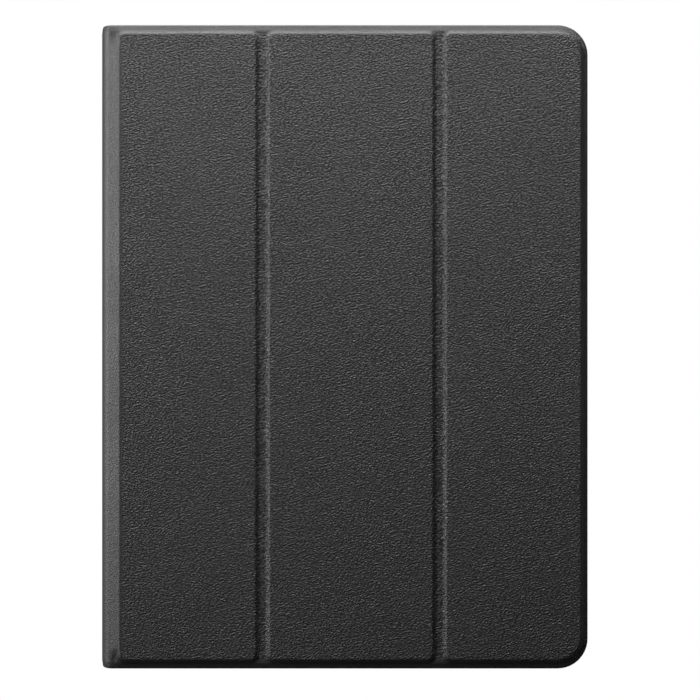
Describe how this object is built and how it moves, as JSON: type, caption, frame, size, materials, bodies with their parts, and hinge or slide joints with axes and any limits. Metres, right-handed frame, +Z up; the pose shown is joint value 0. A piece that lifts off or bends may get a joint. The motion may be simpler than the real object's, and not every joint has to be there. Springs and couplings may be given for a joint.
{
  "type": "tri-fold tablet case",
  "caption": "Folio case for an 11-inch-class tablet: soft-framed tray, rounded spine and a tri-fold leather cover with raised panels that folds into a stand.",
  "frame": {"origin": "middle of the closed case's outline, on the surface that its back lies on", "axes": "+Z up through the front cover, +Y along the long side towards the tablet's top edge, +X from the spine towards the cover's free edge"},
  "size_m": [0.1912, 0.253, 0.0132],
  "materials": {
    "leather": "fine pebble grain, satin black",
    "microfibre": "short nap, charcoal",
    "soft_frame": "moulded matte black",
    "key": "moulded satin black",
    "plate": "fine texture, black",
    "board": "pressed grey stiffener board",
    "foam": "open-cell padding sheet, off-white",
    "keeper_steel": "rolled strip",
    "magnet": "nickel plate"
  },
  "bodies": {
    "back": {"back_leather": "leather", "back_hinge_lining": "microfibre", "back_plate": "plate", "tray_liner": "microfibre", "tray_frame": "soft_frame", "camera_ring": "soft_frame"},
    "spine": {"spine_leather": "leather", "spine_board": "board", "spine_lining": "microfibre"},
    "panel_1": {"panel_1_leather": "leather", "panel_1_foam": "foam", "panel_1_board": "board", "panel_1_lining": "microfibre", "keeper_strip_top": "keeper_steel", "keeper_strip_bottom": "keeper_steel"},
    "panel_2": {"panel_2_leather": "leather", "panel_2_foam": "foam", "panel_2_board": "board", "panel_2_lining": "microfibre"},
    "panel_3": {"panel_3_leather": "leather", "panel_3_foam": "foam", "panel_3_board": "board", "panel_3_lining": "microfibre", "closure_magnet_1": "magnet", "closure_magnet_2": "magnet", "closure_magnet_3": "magnet", "closure_magnet_4": "magnet", "wake_magnet": "magnet"},
    "power_key": {"power_key": "key"},
    "volume_up_key": {"volume_up_key": "key"},
    "volume_down_key": {"volume_down_key": "key"}
  },
  "joints": [
    {"name": "spine_hinge", "type": "hinge", "parent": "back", "child": "spine", "pos_m": [-0.09474, 0, 0.00081], "axis": [0, -1, 0], "range_deg": [0, 180]},
    {"name": "cover_hinge", "type": "hinge", "parent": "spine", "child": "panel_1", "pos_m": [-0.09436, 0, 0.01041], "axis": [0, -1, 0], "range_deg": [0, 115]},
    {"name": "panel_2_fold", "type": "hinge", "parent": "panel_1", "child": "panel_2", "pos_m": [-0.0323, 0, 0.0116], "axis": [0, -1, 0], "range_deg": [0, 125]},
    {"name": "panel_3_fold", "type": "hinge", "parent": "panel_2", "child": "panel_3", "pos_m": [0.0373, 0, 0.0116], "axis": [0, -1, 0], "range_deg": [0, 125]},
    {"name": "power_key_press", "type": "slide", "parent": "back", "child": "power_key", "axis": [0, -1, 0], "range_m": [0, 0.0004], "stiffness_N_per_m": 2500},
    {"name": "volume_up_press", "type": "slide", "parent": "back", "child": "volume_up_key", "axis": [-1, 0, 0], "range_m": [0, 0.0004], "stiffness_N_per_m": 2500},
    {"name": "volume_down_press", "type": "slide", "parent": "back", "child": "volume_down_key", "axis": [-1, 0, 0], "range_m": [0, 0.0004], "stiffness_N_per_m": 2500}
  ]
}
